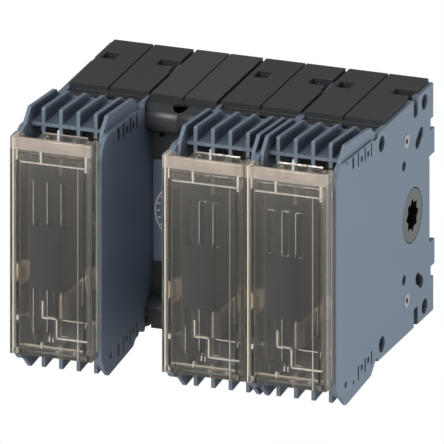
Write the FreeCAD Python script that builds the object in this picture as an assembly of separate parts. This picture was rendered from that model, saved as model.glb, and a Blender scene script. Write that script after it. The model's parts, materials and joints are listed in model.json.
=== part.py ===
"""Three-pole fuse switch disconnector with clear fuse covers, in millimetres.

The origin is on the rail seat, in the middle of the recess for the 35 mm rail.
+Z is up, +X is to the right and the front faces -Y. Each pole is a narrow module
of two housing halves and two switching chamber halves. The mechanism module sits
between the first and the second pole and turns one shaft through all the poles.
"""

import FreeCAD
import Part
import math
import os

V = FreeCAD.Vector

# Modules along X
POLE_COUNT = 3
POLE_PITCH = 36.5
MECHANISM_PITCH = 30.5
MODULE_GAP = 0.1
SPLIT_GAP = 0.1
FIT = 0.1
RUNNING_FIT = 0.07

# Side plates of the pole modules
WALL = 1.4
END_WALL = 1.2
SIDE_HEIGHT = 100.0
WALL_FRONT = 113.0
CORNER_RADIUS = 9.0
CORNER_RISE = 1.5
STEP_LENGTH = 5.5
STEP_DROP = 1.6
SHOULDER_BACK = 4.5

# Recess for the 35 mm rail and the pads on each side of it
RAIL_HEIGHT = 35.0
RAIL_RECESS = 38.0
RAIL_RELIEF = 0.3
RAIL_THICKNESS = 1.0
RAIL_HOOK_GAP = 0.35
RAIL_HOOK_REACH = 1.4
PAD_BACK = 6.0
PAD_WIDTH = 11.0
PAD_NOTCH_WIDTH = 5.0
PAD_NOTCH_BACK = 1.3
BACK_WALL = 1.9

# Barrier fins and terminal floor
FIN_THICKNESS = 1.6
FIN_PITCH = 7.7
FIN_SETBACK = 14.7
FIN_RISE = 6.6
FIN_REAR_DROP = 2.7
FIN_FOOT_DROP = 4.3
FIN_FOOT_DEPTH = 8.0
FLOOR_THICKNESS = 1.5
FLOOR_RISE = 0.7
LINING_INSET = 1.85
LINING_SETBACK = 4.5
LINING_SHOULDER_DROP = 9.0

# Switching chamber halves
CHAMBER_FRONT = 62.5
CHAMBER_WALL = 1.8
CHAMBER_ROOF_DROP = 1.0
PLATE_BACK = 4.2
PLATE_THICKNESS = 1.7
PLATE_MARGIN = 0.75
PLATE_SPLIT = 0.6
PLATE_LAND = 1.3
WIRE_ENTRY_RADIUS = 4.0
WIRE_ENTRY_OFFSET = 4.4
WINDOW_OFFSET = 12.25
WINDOW_WIDTH = 6.1
WINDOW_FRONT = 18.5
WINDOW_LENGTH = 7.6
PLATE_NOTCH_OFFSET = 8.8
PLATE_NICK_OFFSET = 16.7
PLATE_NICK_LENGTH = 6.0
SHELF_LENGTH = 12.0
SHELF_THICKNESS = 1.4

# Rotor line
SHAFT_SIZE = 7.0
SHAFT_CHAMFER = 0.6
ROTOR_CLEARANCE = 1.5
ROTOR_END_GAP = 1.4
JOURNAL_RADIUS = 8.0
BRIDGE_RADIUS = 15.3
BRIDGE_INNER_RADIUS = 7.0
BRIDGE_THICKNESS = 3.0
BRIDGE_HALF_ANGLE = 31.0
HUB_RADIUS = 11.5
HUB_GAP = 0.45
HUB_SLEEVE_DEPTH = 6.0
STAR_OUTER_RADIUS = 7.5
STAR_INNER_RADIUS = 5.5
STAR_LOBES = 8
STAR_DEPTH = 9.0

# Terminals and fuse jaws
STRIP = 2.0
CONTACT_LAP = 4.0
FINGER_GAP = 0.3
FINGER_THICKNESS = 1.6
FINGER_WIDTH = 5.0
FINGER_OFFSET = 5.4
TONGUE_DROP = 3.6
TONGUE_LENGTH = 11.9
TONGUE_BEND = 7.0
LINE_BAR_BEND = 4.0
JAW_GAP = 1.1
JAW_HEIGHT = 11.9
JAW_BAR_THICKNESS = 3.0
JAW_WIDTH = 10.0
BLADE_THICKNESS = 6.0
JAW_LEAF = 1.4
JAW_LENGTH = 30.0
JAW_FLARE = 2.0
JAW_LIP = 4.5

# Clamps and screws
CLAMP_WIDTH = 12.0
CLAMP_DEPTH = 10.0
CLAMP_CLEARANCE = 0.3
CLAMP_WALL = 1.8
CLAMP_HEIGHT = 9.1
SCREW_RISE = 4.7
SCREW_RADIUS = 1.95
SCREW_HEAD_RADIUS = 3.5
SCREW_HEAD_THICKNESS = 2.6
SCREW_REACH = 5.9
SCREW_SLOT = 0.8
SCREW_SLOT_DEPTH = 1.2

# Through rivets
RIVET_RADIUS = 3.0
RIVET_BORE_RADIUS = 1.25
RIVET_DEPTH = 27.9
RIVET_INSET = 14.9
RIVET_CLEARANCE = 0.9
RIVET_PROUD = 0.2

# Holes and slits of the exposed side plates: depth and drop from the top edge, size
ROUND_HOLES = ((6.0, 5.0, 3.35), (57.8, 5.9, 3.5), (30.9, 24.9, 2.25))
EDGE_SLOT_WIDTH = 4.8
EDGE_SLOT_DEPTH = 16.75
EDGE_SLOT_DROP = 8.0
OVAL_SLOT_WIDTH = 5.0
OVAL_SLOT_ENDS = ((10.2, 17.0), (14.6, 20.2))
SLITS = (
    (70.2, 7.2, 1.0, 1.3),
    (74.3, 6.0, 3.2, 2.2),
    (78.0, 6.8, 0.2, 1.4),
    (82.1, 5.5, 2.7, 2.0),
    (86.2, 6.2, -0.2, 1.4),
)
TOP_SLIT = (92.4, 4.9, -0.2, 2.2)
TOP_DOT = (99.6, 0.1, 0.8)
FOOT_DOT = (92.0, 0.8, 0.9)

# Fuse covers
COVER_MARGIN = 0.25
COVER_GAP = 1.0
COVER_DEPTH = 7.6
COVER_RISE = 1.8
COVER_LIFT = 6.2
COVER_WALL = 1.5
COVER_LIP = 2.5
COVER_EDGE_RADIUS = 0.7
COVER_SHELF_DROP = 6.5
COVER_SHELF = 1.1
COVER_RAIL_GAP = 0.25
COVER_RAIL = 1.1
COVER_RAIL_DEPTH = 15.1
COVER_RAIL_TAPER = 14.0
COVER_SLOT_WIDTH = 3.1
COVER_SLOT_DEPTH = 0.8
COVER_SLOT_PITCH = 6.1
COVER_SLOT_HEIGHT = 19.5
COVER_SLOT_FOOT = 14.0
THUMB_WIDTH = 20.0
THUMB_LENGTH = 19.0
THUMB_DROP = 5.0
THUMB_THICKNESS = 1.4
COVER_BOSS_LEFT = -1.1
COVER_BOSS_RIGHT = 2.4
COVER_BOSS_DROP = 1.7
COVER_BOSS_HEIGHT = 2.7
COVER_BOSS_DEPTH = 1.6
COVER_RIB_POST = -4.0
COVER_RIB = 0.8
COVER_STEP_RIB = ((-3.5, -19.8), (-3.5, -26.5), (3.0, -26.5), (3.0, -35.0), (15.0, -35.0))
HINGE_CLEARANCE = 0.8
HINGE_DROP = 3.2
HINGE_PIN_RADIUS = 1.4
HINGE_EYE_RADIUS = 2.4
HINGE_PIN_INSET = 0.6

# Mechanism module
MECHANISM_WALL = 1.6
MECHANISM_FRONT = 50.6
MECHANISM_TOP_DROP = 1.0
NOSE_REACH = 9.7
NOSE_HEIGHT = 12.7
NOSE_RADIUS = 6.0
MECHANISM_PLATE_REACH = 1.4
FRONT_PLATE_MARGIN = 1.25
FRONT_PLATE_HALF_HEIGHT = 22.3
FRONT_PLATE_THICKNESS = 1.9
PEEP_HOLE_OFFSET = -10.1
PEEP_HOLE_DROP = 2.8
PEEP_HOLE_RADIUS = 1.1
TOOL_HOLE_RADIUS = 3.4

# Front drive and bevel gears
FRONT_HUB_RADIUS = 8.8
FRONT_HUB_PROUD = 0.4
FRONT_HUB_LENGTH = 4.4
FRONT_STEM_RADIUS = 6.0
FRONT_SPIGOT_RADIUS = 4.0
DRIVE_SOCKET = 8.0
DRIVE_SOCKET_DEPTH = 9.0
BEARING_WEB = 3.0
BEARING_WEB_OFFSET = 8.0
BEARING_WEB_HALF_HEIGHT = 12.0
GEAR_TEETH = 16
GEAR_TOE = 7.0
GEAR_END_GAP = 0.2
GEAR_ADDENDUM = 1.3
GEAR_DEDENDUM = 1.8
GEAR_TOOTH_ROOT = 1.5
GEAR_TOOTH_TIP = 0.55
GEAR_BACK = 1.4

# Detent spring round the square shaft
DETENT_WIDTH = 5.0
DETENT_THICKNESS = 0.6
DETENT_OFFSET = 8.0
DETENT_REACH = 9.0
DETENT_POST_OFFSET = 6.5
DETENT_POST = 3.0

# Rail slider and its spring
SLIDER_WIDTH = 13.8
SLIDER_THICKNESS = 2.2
SLIDER_LAP = 2.7
SLIDER_TAIL = 8.5
SLIDER_GUIDE_GAP = 0.15
SLIDER_TRAVEL = 3.0
SLIDER_WINDOW_WIDTH = 5.0
SLIDER_WINDOW_MARGIN = 0.5
SPRING_LENGTH = 10.5
SPRING_STOP_INSET = 2.0
SPRING_STOP = 2.0
SPRING_RADIUS = 1.6
SPRING_WIRE = 0.25
SPRING_TURNS = 5
SPRING_SECTION_COUNT = 10

# Places along X
LEFT_END = -(POLE_COUNT * POLE_PITCH + MECHANISM_PITCH) / 2
MECHANISM_X = LEFT_END + POLE_PITCH + MECHANISM_PITCH / 2
POLES = [LEFT_END + POLE_PITCH / 2]
POLES += [LEFT_END + MECHANISM_PITCH + POLE_PITCH * (k + 0.5) for k in range(1, POLE_COUNT)]
HALF_POLE = (POLE_PITCH - MODULE_GAP) / 2
HALF_MECHANISM = (MECHANISM_PITCH - MODULE_GAP) / 2
HALF_CHAMBER = HALF_POLE - WALL - FIT
ROTOR_HALF_LENGTH = HALF_CHAMBER - CHAMBER_WALL - ROTOR_END_GAP
POLE_PLATE_WIDTH = POLE_PITCH - 2 * PLATE_MARGIN
MECHANISM_PLATE_WIDTH = MECHANISM_PITCH - 2 * PLATE_MARGIN
FRONT_PLATE_WIDTH = MECHANISM_PITCH - 2 * FRONT_PLATE_MARGIN
FIN_OFFSETS = (FIN_PITCH / 2, FIN_PITCH * 3 / 2)
LINING_OFFSET = HALF_POLE - LINING_INSET
COVER_WIDTH = POLE_PITCH - 2 * COVER_MARGIN
COVER_RAIL_OFFSET = LINING_OFFSET - FIN_THICKNESS / 2 - COVER_RAIL_GAP
HINGE_PIN_REACH = HALF_POLE - HINGE_PIN_INSET
TERMINAL_WIDTH = CLAMP_WIDTH - 2 * CLAMP_WALL

# Heights above the middle; the lower half mirrors the upper one
HALF_HEIGHT = SIDE_HEIGHT / 2
SEAT = RAIL_RECESS / 2
FLOOR_TOP = HALF_HEIGHT + FLOOR_RISE
FIN_TOP = FLOOR_TOP + FIN_RISE
FIN_REAR_TOP = FIN_TOP - FIN_REAR_DROP
FIN_FOOT = FLOOR_TOP - FIN_FOOT_DROP
LINING_SHOULDER = HALF_HEIGHT - LINING_SHOULDER_DROP
CHAMBER_ROOF = HALF_HEIGHT - CHAMBER_ROOF_DROP
PLATE_TOP = HALF_HEIGHT + PLATE_THICKNESS
TONGUE_TOP = HALF_HEIGHT - TONGUE_DROP
TONGUE_FOOT = TONGUE_TOP - TONGUE_LENGTH
CLAMP_FOOT = TONGUE_TOP - CLAMP_HEIGHT
SCREW_HEIGHT = CLAMP_FOOT + SCREW_RISE
JAW_TOP = SCREW_HEIGHT - SCREW_HEAD_RADIUS - JAW_GAP
JAW_BAR_HEIGHT = JAW_TOP - JAW_HEIGHT
RIVET_HEIGHT = HALF_HEIGHT - RIVET_INSET
LINE_BAR_HEIGHT = RIVET_HEIGHT + RIVET_RADIUS + RIVET_CLEARANCE + STRIP / 2
COVER_TOP = HALF_HEIGHT + COVER_RISE
COVER_FOOT = -HALF_HEIGHT + COVER_LIFT
THUMB_HEIGHT = COVER_TOP - THUMB_DROP
HINGE_HEIGHT = -COVER_FOOT + HINGE_DROP
MECHANISM_TOP = HALF_HEIGHT - MECHANISM_TOP_DROP
NOSE_FOOT = MECHANISM_TOP - NOSE_HEIGHT
PEEP_HOLE_HEIGHT = NOSE_FOOT - PEEP_HOLE_DROP
SLIDER_TOP = -RAIL_HEIGHT / 2 + SLIDER_LAP
SLIDER_FOOT = -HALF_HEIGHT - SLIDER_TAIL
SPRING_STOP_FOOT = -HALF_HEIGHT + SPRING_STOP_INSET
SPRING_STOP_TOP = SPRING_STOP_FOOT + SPRING_STOP
SLIDER_WINDOW_TOP = SPRING_STOP_TOP + SPRING_LENGTH
SLIDER_WINDOW_FOOT = SPRING_STOP_FOOT - SLIDER_TRAVEL - SLIDER_WINDOW_MARGIN

# Depths in front of the rail seat
ROTOR_DEPTH = BACK_WALL + FIT + CHAMBER_WALL + ROTOR_CLEARANCE + BRIDGE_RADIUS
AXIS_Y = -ROTOR_DEPTH
FINGER_TIP = BRIDGE_RADIUS - CONTACT_LAP
ROTOR_RADIUS = FINGER_TIP - FIT
CLAMP_FRONT = CHAMBER_FRONT - CHAMBER_WALL - CLAMP_CLEARANCE
TONGUE_DEPTH = CLAMP_FRONT - CLAMP_DEPTH
WIRE_ENTRY_DEPTH = CLAMP_FRONT - WIRE_ENTRY_OFFSET
PLATE_FRONT = WIRE_ENTRY_DEPTH - WIRE_ENTRY_RADIUS - PLATE_LAND
STEP_BACK = CHAMBER_FRONT + 0.5
STEP_FRONT = STEP_BACK + STEP_LENGTH
JAW_FRONT = CHAMBER_FRONT + JAW_LENGTH
FIN_REAR = STEP_FRONT - 0.3
FIN_FRONT = WALL_FRONT - FIN_SETBACK
LINING_FRONT = WALL_FRONT - LINING_SETBACK
COVER_FRONT = WALL_FRONT + COVER_GAP + COVER_DEPTH
COVER_RAIL_BACK = COVER_FRONT - COVER_RAIL_DEPTH
THUMB_BACK = COVER_FRONT - THUMB_LENGTH
HINGE_DEPTH = FIN_FRONT + HINGE_EYE_RADIUS + HINGE_CLEARANCE
NOSE_FRONT = MECHANISM_FRONT + NOSE_REACH
MECHANISM_PLATE_FRONT = MECHANISM_FRONT + MECHANISM_PLATE_REACH
GEAR_RADIUS = HALF_MECHANISM - MECHANISM_WALL - GEAR_BACK - GEAR_END_GAP
GEAR_FACE = GEAR_RADIUS - GEAR_TOE
BEARING_WEB_FRONT = ROTOR_DEPTH + GEAR_RADIUS + GEAR_BACK + BEARING_WEB + BEARING_WEB_OFFSET
DETENT_POST_Y = AXIS_Y + SHAFT_SIZE / 2 + DETENT_POST_OFFSET
SLIDER_FACE = RAIL_THICKNESS + RAIL_HOOK_GAP


def box(x0, x1, y0, y1, z0, z1):
    """A block between two corners, given in any order."""
    low = V(min(x0, x1), min(y0, y1), min(z0, z1))
    return Part.makeBox(abs(x1 - x0), abs(y1 - y0), abs(z1 - z0), low)


def outline(corners, place):
    """A face from corners (a, b) or (a, b, radius); a radius rounds that corner."""
    starts = []
    ends = []
    edges = []
    count = len(corners)
    for k in range(count):
        here = V(corners[k][0], corners[k][1], 0)
        radius = corners[k][2] if len(corners[k]) > 2 else 0
        if not radius:
            starts.append(here)
            ends.append(here)
            continue
        before = V(corners[k - 1][0], corners[k - 1][1], 0) - here
        after = V(corners[(k + 1) % count][0], corners[(k + 1) % count][1], 0) - here
        before.normalize()
        after.normalize()
        half = before.getAngle(after) / 2
        starts.append(here + before * (radius / math.tan(half)))
        ends.append(here + after * (radius / math.tan(half)))
        inward = before + after
        inward.normalize()
        middle = here + inward * (radius / math.sin(half) - radius)
        points = [place(p.x, p.y) for p in (starts[k], middle, ends[k])]
        edges.append(Part.Arc(*points).toShape())
    for k in range(count):
        p = place(ends[k - 1].x, ends[k - 1].y)
        q = place(starts[k].x, starts[k].y)
        if p.distanceToPoint(q) > 1e-6:
            edges.append(Part.makeLine(p, q))
    return Part.Face(Part.Wire(Part.__sortEdges__(edges)))


def slab_x(corners, x0, x1):
    """A profile of (y, z) corners, drawn out along X."""
    return outline(corners, lambda a, b: V(x0, a, b)).extrude(V(x1 - x0, 0, 0))


def slab_y(corners, y0, y1):
    """A profile of (x, z) corners, drawn out along Y."""
    return outline(corners, lambda a, b: V(a, y0, b)).extrude(V(0, y1 - y0, 0))


def slab_z(corners, z0, z1):
    """A profile of (x, y) corners, drawn out along Z."""
    return outline(corners, lambda a, b: V(a, b, z0)).extrude(V(0, 0, z1 - z0))


def mirrored(upper):
    """Corners of an upper half, from the middle round to the middle, and its mirror."""
    lower = [(c[0], -c[1], *c[2:]) for c in reversed(upper)]
    return upper + lower


def strip(path, thickness):
    """Corners of a strip of one thickness that follows a centreline."""
    left = []
    right = []
    for k, (a, b) in enumerate(path):
        normals = []
        for p, q in ((k - 1, k), (k, k + 1)):
            if p < 0 or q >= len(path):
                continue
            da = path[q][0] - path[p][0]
            db = path[q][1] - path[p][1]
            length = math.hypot(da, db)
            normals.append((-db / length, da / length))
        na = sum(n[0] for n in normals)
        nb = sum(n[1] for n in normals)
        size = math.hypot(na, nb)
        reach = thickness / 2
        if len(normals) == 2:
            reach /= (na * normals[0][0] + nb * normals[0][1]) / size
        left.append((a + na / size * reach, b + nb / size * reach))
        right.append((a - na / size * reach, b - nb / size * reach))
    return left + right[::-1]


def rod_x(x0, x1, radius, y, z):
    return Part.makeCylinder(radius, abs(x1 - x0), V(min(x0, x1), y, z), V(1, 0, 0))


def rod_y(y0, y1, radius, x, z):
    return Part.makeCylinder(radius, abs(y1 - y0), V(x, min(y0, y1), z), V(0, 1, 0))


def rod_z(z0, z1, radius, x, y):
    return Part.makeCylinder(radius, abs(z1 - z0), V(x, y, min(z0, z1)), V(0, 0, 1))


def upside_down(shape):
    """The mirror image below the middle height."""
    return shape.mirror(V(0, 0, 0), V(0, 0, 1))


def joined(pieces):
    return pieces[0].fuse(pieces[1:]).removeSplitter()


def both_ends(pieces):
    """The pieces and their mirror images below the middle height."""
    return pieces + [upside_down(piece) for piece in pieces]


def back_profile():
    """Corners of the rear edge, from the top down to the middle of the rail seat."""
    pad_end = SEAT + PAD_WIDTH
    notch_end = pad_end + PAD_NOTCH_WIDTH
    return [
        (SHOULDER_BACK, HALF_HEIGHT),
        (SHOULDER_BACK, notch_end),
        (PAD_NOTCH_BACK, notch_end),
        (PAD_NOTCH_BACK, pad_end),
        (PAD_BACK, pad_end),
        (PAD_BACK, SEAT),
        (-RAIL_RELIEF, SEAT),
        (-RAIL_RELIEF, RAIL_HEIGHT / 2),
        (0, RAIL_HEIGHT / 2),
    ]


def rail_hook():
    """Corners of the hook that holds the upper edge of the rail."""
    return [
        (SLIDER_FACE, SEAT + 0.5),
        (SLIDER_FACE, SEAT - RAIL_HOOK_REACH),
        (SLIDER_FACE + 1.0, SEAT - RAIL_HOOK_REACH),
        (PAD_BACK - 1.0, SEAT + 0.5),
    ]


def side_profile():
    """Corners of a pole's side plate."""
    crest = HALF_HEIGHT + CORNER_RISE
    upper = [
        (-WALL_FRONT, crest + 0.3, CORNER_RADIUS),
        (-STEP_FRONT, HALF_HEIGHT - 0.4),
        (-STEP_FRONT + 1, HALF_HEIGHT - STEP_DROP),
        (-STEP_BACK, HALF_HEIGHT - STEP_DROP),
        (-CHAMBER_FRONT, HALF_HEIGHT),
    ]
    return mirrored(upper + back_profile())


def square(centre_a, centre_b, size):
    half = size / 2
    return [
        (centre_a - half, centre_b - half),
        (centre_a + half, centre_b - half),
        (centre_a + half, centre_b + half),
        (centre_a - half, centre_b + half),
    ]


def slit_cut(slit, x0, x1):
    """An upright slit with rounded corners: depth, drops of its ends and width."""
    depth, foot_drop, top_drop, width = slit
    near = -depth + width / 2
    far = -depth - width / 2
    foot = HALF_HEIGHT - foot_drop
    top = HALF_HEIGHT - top_drop
    radius = width * 0.3
    corners = [(far, foot, radius), (near, foot, radius), (near, top, radius), (far, top, radius)]
    return slab_x(corners, x0, x1)


def side_plate_cuts(x0, x1, slit_x):
    """The holes and slots that show on an exposed side plate; the slits go in to slit_x."""
    cuts = []
    for depth, drop, radius in ROUND_HOLES:
        cuts.append(rod_x(x0, x1, radius, -depth, HALF_HEIGHT - drop))
    half = EDGE_SLOT_WIDTH / 2
    low = -EDGE_SLOT_DEPTH - half
    high = -EDGE_SLOT_DEPTH + half
    foot = HALF_HEIGHT - EDGE_SLOT_DROP
    corners = [(low, foot, 1.0), (high, foot, 1.0), (high, PLATE_TOP), (low, PLATE_TOP)]
    cuts.append(slab_x(corners, x0, x1))
    ends = [(-depth, HALF_HEIGHT - drop) for depth, drop in OVAL_SLOT_ENDS]
    cuts.append(slab_x(strip(ends, OVAL_SLOT_WIDTH), x0, x1))
    for y, z in ends:
        cuts.append(rod_x(x0, x1, OVAL_SLOT_WIDTH / 2, y, z))
    for slit in SLITS:
        cuts.append(slit_cut(slit, slit_x, x1))
    cuts = both_ends(cuts)
    cuts.append(slit_cut(TOP_SLIT, slit_x, x1))
    depth, drop, radius = TOP_DOT
    cuts.append(rod_x(slit_x, x1, radius, -depth, HALF_HEIGHT - drop))
    depth, drop, radius = FOOT_DOT
    cuts.append(rod_x(slit_x, x1, radius, -depth, -HALF_HEIGHT + drop))
    return cuts


def housing_half(centre, side, exposed):
    """One moulded half of a pole's housing, with its three fins above and below."""

    def at(offset):
        return centre + side * offset

    inner = HALF_POLE - WALL
    outer = HALF_POLE + END_WALL
    lining = LINING_OFFSET + (END_WALL if exposed else 0)
    pieces = [slab_x(side_profile(), at(inner), at(HALF_POLE))]
    cheek = slab_x(side_profile(), at(HALF_POLE), at(outer))
    if not exposed:
        clear = -MECHANISM_FRONT - MODULE_GAP
        nose_clear = -NOSE_FRONT - MODULE_GAP
        nose = [
            (clear + 1, NOSE_FOOT - MODULE_GAP),
            (nose_clear, NOSE_FOOT - MODULE_GAP, NOSE_RADIUS),
            (nose_clear, SIDE_HEIGHT),
            (clear + 1, SIDE_HEIGHT),
        ]
        cheek = cheek.common(box(at(0), at(outer), -WALL_FRONT, clear, -SIDE_HEIGHT, SIDE_HEIGHT))
        cheek = cheek.cut(both_ends([slab_x(nose, at(0), at(outer + 1))]))
    meets_mechanism = (centre == POLES[0] and side > 0) or (centre == POLES[1] and side < 0)
    if exposed or meets_mechanism:
        pieces.append(cheek)

    chamber_face = -CHAMBER_FRONT - 0.2
    floor_foot = FLOOR_TOP - FLOOR_THICKNESS
    fins = []
    for offset in FIN_OFFSETS:
        corners = [
            (-FIN_FRONT, FIN_FOOT),
            (-FIN_FRONT, FIN_TOP, 0.8),
            (-FIN_REAR, FIN_REAR_TOP, 1.0),
            (chamber_face, floor_foot + 0.8),
            (chamber_face, floor_foot),
            (-FIN_FRONT + FIN_FOOT_DEPTH + 2, floor_foot),
            (-FIN_FRONT + FIN_FOOT_DEPTH, FIN_FOOT),
        ]
        half = FIN_THICKNESS / 2
        fins.append(slab_x(corners, at(offset - half), at(offset + half)))
    corners = [
        (-LINING_FRONT, 0),
        (-LINING_FRONT, LINING_SHOULDER, 4.0),
        (-LINING_FRONT + 4.0, HALF_HEIGHT + 2.0, 3.0),
        (-FIN_FRONT, FIN_TOP, 0.8),
        (-FIN_REAR, FIN_REAR_TOP, 1.0),
        (chamber_face, floor_foot + 0.8),
        (chamber_face, 0),
    ]
    half = FIN_THICKNESS / 2
    fins.append(slab_x(corners, at(lining - half), at(lining + half)))
    fins.append(
        box(at(SPLIT_GAP / 2), at(inner), -FIN_FRONT, chamber_face, floor_foot, FLOOR_TOP)
    )
    pieces += both_ends(fins)

    rim = back_profile()
    liner = [
        (0 - BACK_WALL, SEAT + BACK_WALL),
        (PAD_BACK - BACK_WALL, SEAT + BACK_WALL),
        (PAD_BACK - BACK_WALL, SEAT + PAD_WIDTH - BACK_WALL),
        (PAD_NOTCH_BACK - BACK_WALL, SEAT + PAD_WIDTH - BACK_WALL),
        (PAD_NOTCH_BACK - BACK_WALL, SEAT + PAD_WIDTH + PAD_NOTCH_WIDTH + BACK_WALL),
        (SHOULDER_BACK - BACK_WALL, SEAT + PAD_WIDTH + PAD_NOTCH_WIDTH + BACK_WALL),
        (SHOULDER_BACK - BACK_WALL, HALF_HEIGHT),
    ]
    outer_side = rim + [(a, -b) for a, b in reversed(rim)]
    inner_side = [(a, -b) for a, b in reversed(liner)] + liner
    pieces.append(slab_x(outer_side + inner_side, at(SPLIT_GAP / 2), at(inner)))
    pieces.append(slab_x(rail_hook(), at(SPLIT_GAP / 2), at(HALF_POLE)))
    body = joined(pieces)

    cuts = [rod_x(at(0), at(outer + 1), JOURNAL_RADIUS + 0.4, AXIS_Y, 0)]
    if exposed:
        cuts.append(rod_x(at(inner - 1), at(outer + 1), HUB_RADIUS + HUB_GAP, AXIS_Y, 0))
        cuts += side_plate_cuts(at(inner - 0.01), at(outer + 1), at(LINING_OFFSET - FIN_THICKNESS))
    for height in (RIVET_HEIGHT, -RIVET_HEIGHT):
        cuts.append(rod_x(at(0), at(outer + 1), RIVET_RADIUS + FIT / 2, -RIVET_DEPTH, height))
    pin_hole = HINGE_PIN_RADIUS + RUNNING_FIT
    cuts.append(rod_x(at(inner - 2), at(outer + 1), pin_hole, -HINGE_DEPTH, -HINGE_HEIGHT))
    return body.cut(cuts).removeSplitter()


def chamber_half(centre, side):
    """One black half of a pole's switching chamber, with its top and bottom plates."""

    def at(offset):
        return centre + side * offset

    back_high = SHOULDER_BACK - BACK_WALL - FIT
    back_low = -BACK_WALL - FIT
    ledge = SEAT + PAD_WIDTH + PAD_NOTCH_WIDTH + BACK_WALL + FIT
    upper = [
        (-CHAMBER_FRONT, CHAMBER_ROOF),
        (-PLATE_FRONT, CHAMBER_ROOF),
        (-PLATE_FRONT, HALF_HEIGHT),
        (back_high, HALF_HEIGHT),
        (back_high, ledge),
        (back_low, ledge),
    ]
    shell = slab_x(mirrored(upper), at(SPLIT_GAP / 2), at(HALF_CHAMBER))
    cavity_roof = CHAMBER_ROOF - CHAMBER_WALL
    upper = [
        (-CHAMBER_FRONT + CHAMBER_WALL, cavity_roof),
        (back_high - CHAMBER_WALL, cavity_roof),
        (back_high - CHAMBER_WALL, ledge + CHAMBER_WALL),
        (back_low - CHAMBER_WALL, ledge + CHAMBER_WALL),
    ]
    cavity_side = HALF_CHAMBER - CHAMBER_WALL
    cavity = slab_x(mirrored(upper), at(-1), at(cavity_side))
    half_plate = POLE_PLATE_WIDTH / 2
    plate = box(
        at(PLATE_SPLIT / 2), at(half_plate), -PLATE_FRONT, PLATE_BACK, HALF_HEIGHT, PLATE_TOP
    )
    shelf_top = TONGUE_FOOT - STRIP / 2 - FIT
    shelf = box(
        at(TERMINAL_WIDTH / 2 - 0.8),
        at(cavity_side),
        -TONGUE_DEPTH + STRIP,
        -TONGUE_DEPTH + STRIP + SHELF_LENGTH,
        shelf_top - SHELF_THICKNESS,
        shelf_top,
    )
    body = joined([shell.cut(cavity)] + both_ends([plate, shelf]))

    entry_foot = cavity_roof - 2.5
    window_back = -WINDOW_FRONT + WINDOW_LENGTH
    if side < 0:
        near = at(WINDOW_OFFSET - WINDOW_WIDTH / 2)
        far = at(WINDOW_OFFSET + WINDOW_WIDTH / 2)
        windows = [box(near, far, -WINDOW_FRONT, window_back, cavity_roof - 1, PLATE_TOP + 1)]
    else:
        near = at(PLATE_NOTCH_OFFSET)
        far = at(half_plate + 1)
        nick_front = -WINDOW_FRONT - PLATE_NICK_LENGTH
        windows = [
            box(near, far, -WINDOW_FRONT, window_back, cavity_roof - 1, PLATE_TOP + 1),
            box(at(PLATE_NICK_OFFSET), far, nick_front, window_back, HALF_HEIGHT, PLATE_TOP + 1),
        ]
    radius = WIRE_ENTRY_RADIUS
    entry = box(
        at(-radius), at(radius), -CHAMBER_FRONT - 1, -WIRE_ENTRY_DEPTH, entry_foot, CHAMBER_ROOF + 1
    )
    entry_end = rod_z(entry_foot, CHAMBER_ROOF + 1, radius, centre, -WIRE_ENTRY_DEPTH)
    screw_hole = rod_y(
        -CHAMBER_FRONT - 1,
        -CHAMBER_FRONT + CHAMBER_WALL + 1,
        SCREW_RADIUS + 0.3,
        centre,
        SCREW_HEIGHT,
    )
    half_bar = JAW_WIDTH / 2 + FIT
    bar_slot = box(
        at(-half_bar),
        at(half_bar),
        -CHAMBER_FRONT - 1,
        -CHAMBER_FRONT + CHAMBER_WALL + 1,
        JAW_BAR_HEIGHT - JAW_BAR_THICKNESS / 2 - FIT,
        JAW_BAR_HEIGHT + JAW_BAR_THICKNESS / 2 + FIT,
    )
    rivet = rod_x(at(-1), at(HALF_POLE), RIVET_RADIUS + FIT / 2, -RIVET_DEPTH, RIVET_HEIGHT)
    cuts = both_ends(windows + [entry, entry_end, screw_hole, bar_slot, rivet])
    cuts.append(rod_x(at(-1), at(HALF_POLE), JOURNAL_RADIUS + RUNNING_FIT, AXIS_Y, 0))
    return body.cut(cuts).removeSplitter()


def contact_fork(centre, towards_front):
    """Two contact fingers that stand on each side of the moving bridge's blade."""
    step = -1 if towards_front else 1
    tip = AXIS_Y + step * FINGER_OFFSET
    inner = BRIDGE_THICKNESS / 2 + FINGER_GAP
    fingers = []
    for side in (-1, 1):
        corners = [
            (tip, FINGER_TIP, 0.6),
            (tip + step * FINGER_WIDTH, FINGER_TIP, 0.6),
            (tip + step * FINGER_WIDTH, JAW_BAR_HEIGHT - 0.5),
            (tip, JAW_BAR_HEIGHT - 0.5),
        ]
        near = centre + side * inner
        fingers.append(slab_x(corners, near, near + side * FINGER_THICKNESS))
    return fingers


def line_terminal(centre):
    """A bent copper bar from the clamp's tongue over the rivet to the rear fingers."""
    rear = AXIS_Y + FINGER_OFFSET + FINGER_WIDTH / 2
    path = [
        (-TONGUE_DEPTH, TONGUE_TOP),
        (-TONGUE_DEPTH, TONGUE_FOOT),
        (-RIVET_DEPTH - TONGUE_BEND, TONGUE_FOOT),
        (-RIVET_DEPTH - LINE_BAR_BEND, LINE_BAR_HEIGHT),
        (rear, LINE_BAR_HEIGHT),
        (rear, JAW_BAR_HEIGHT - 4.0),
    ]
    half = TERMINAL_WIDTH / 2
    bar = slab_x(strip(path, STRIP), centre - half, centre + half)
    return joined([bar] + contact_fork(centre, False))


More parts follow.
